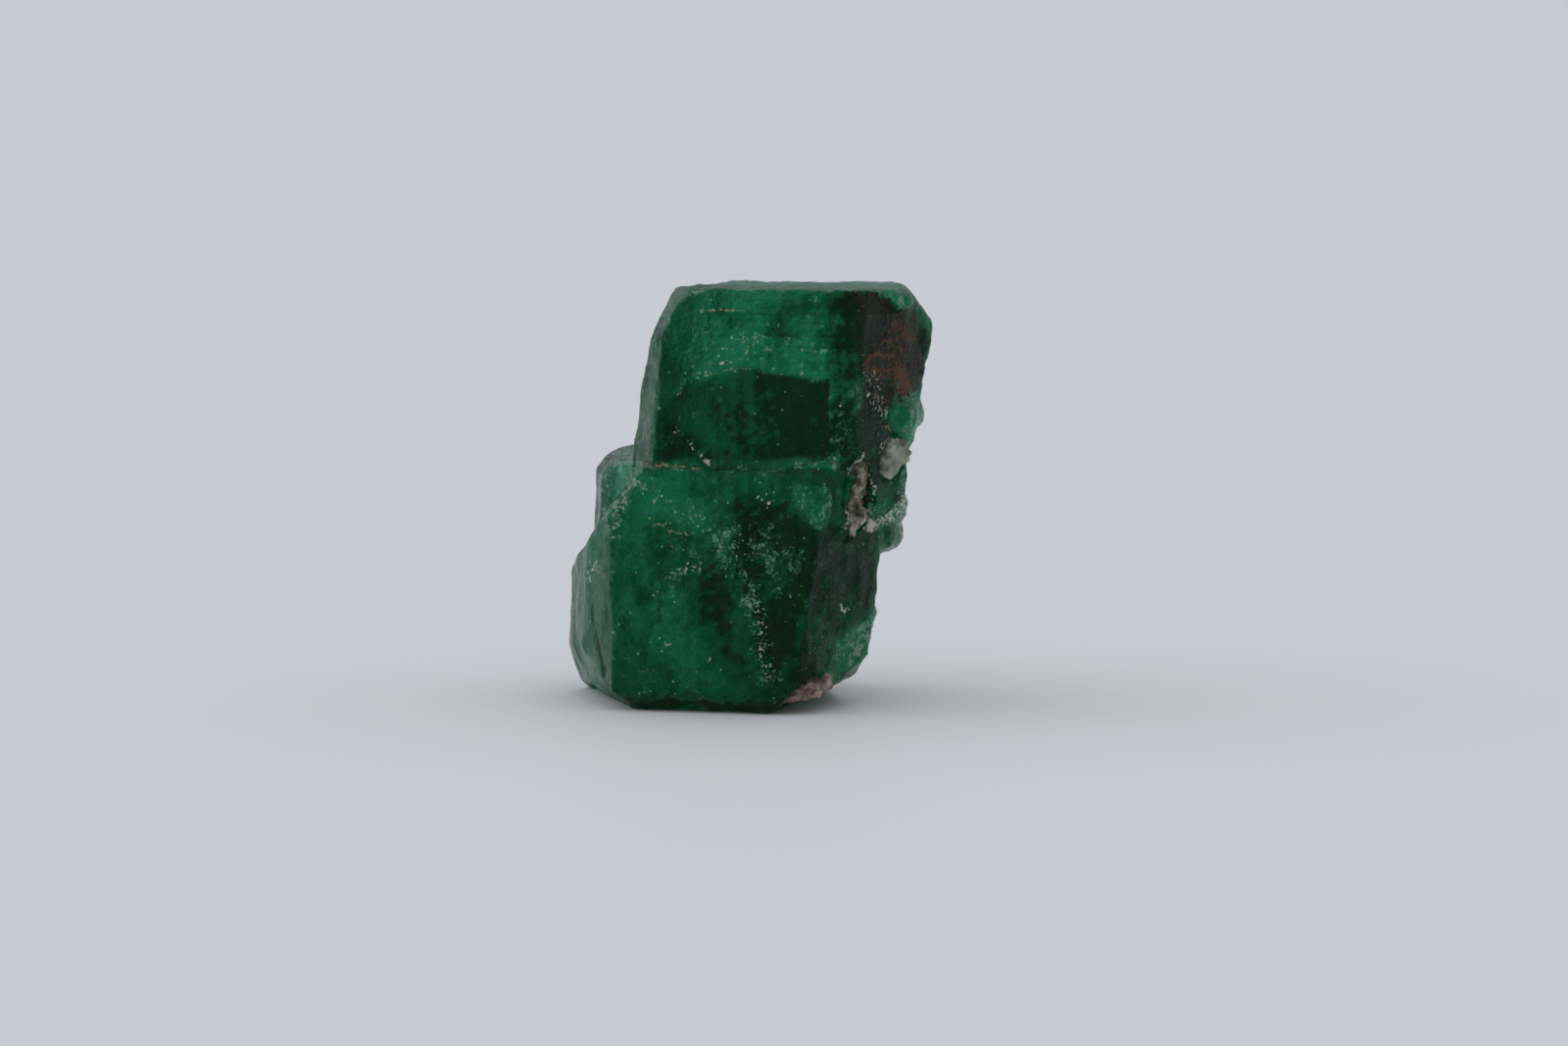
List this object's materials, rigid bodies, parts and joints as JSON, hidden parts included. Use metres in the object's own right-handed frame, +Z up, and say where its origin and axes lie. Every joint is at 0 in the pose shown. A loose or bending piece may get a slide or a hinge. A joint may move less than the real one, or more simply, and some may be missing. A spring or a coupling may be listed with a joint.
{
  "type": "raw emerald crystal",
  "caption": "Rough emerald: a leaning six-sided beryl prism with a ledge, a small side crystal and scraps of white host rock, broken flat to stand.",
  "frame": {"origin": "under the middle of the specimen's box, on the flat face that it stands on", "axes": "+Z up, roughly along the prism; -Y out of the wide front face; +X to its right, the way the prism leans"},
  "size_m": [0.017, 0.0138, 0.0193],
  "materials": {
    "emerald": "satin",
    "feldspar": "matte"
  },
  "bodies": {
    "root": {"emerald_crystal": "emerald", "feldspar_notch": "feldspar", "feldspar_seam": "feldspar", "feldspar_foot": "feldspar"}
  },
  "joints": []
}
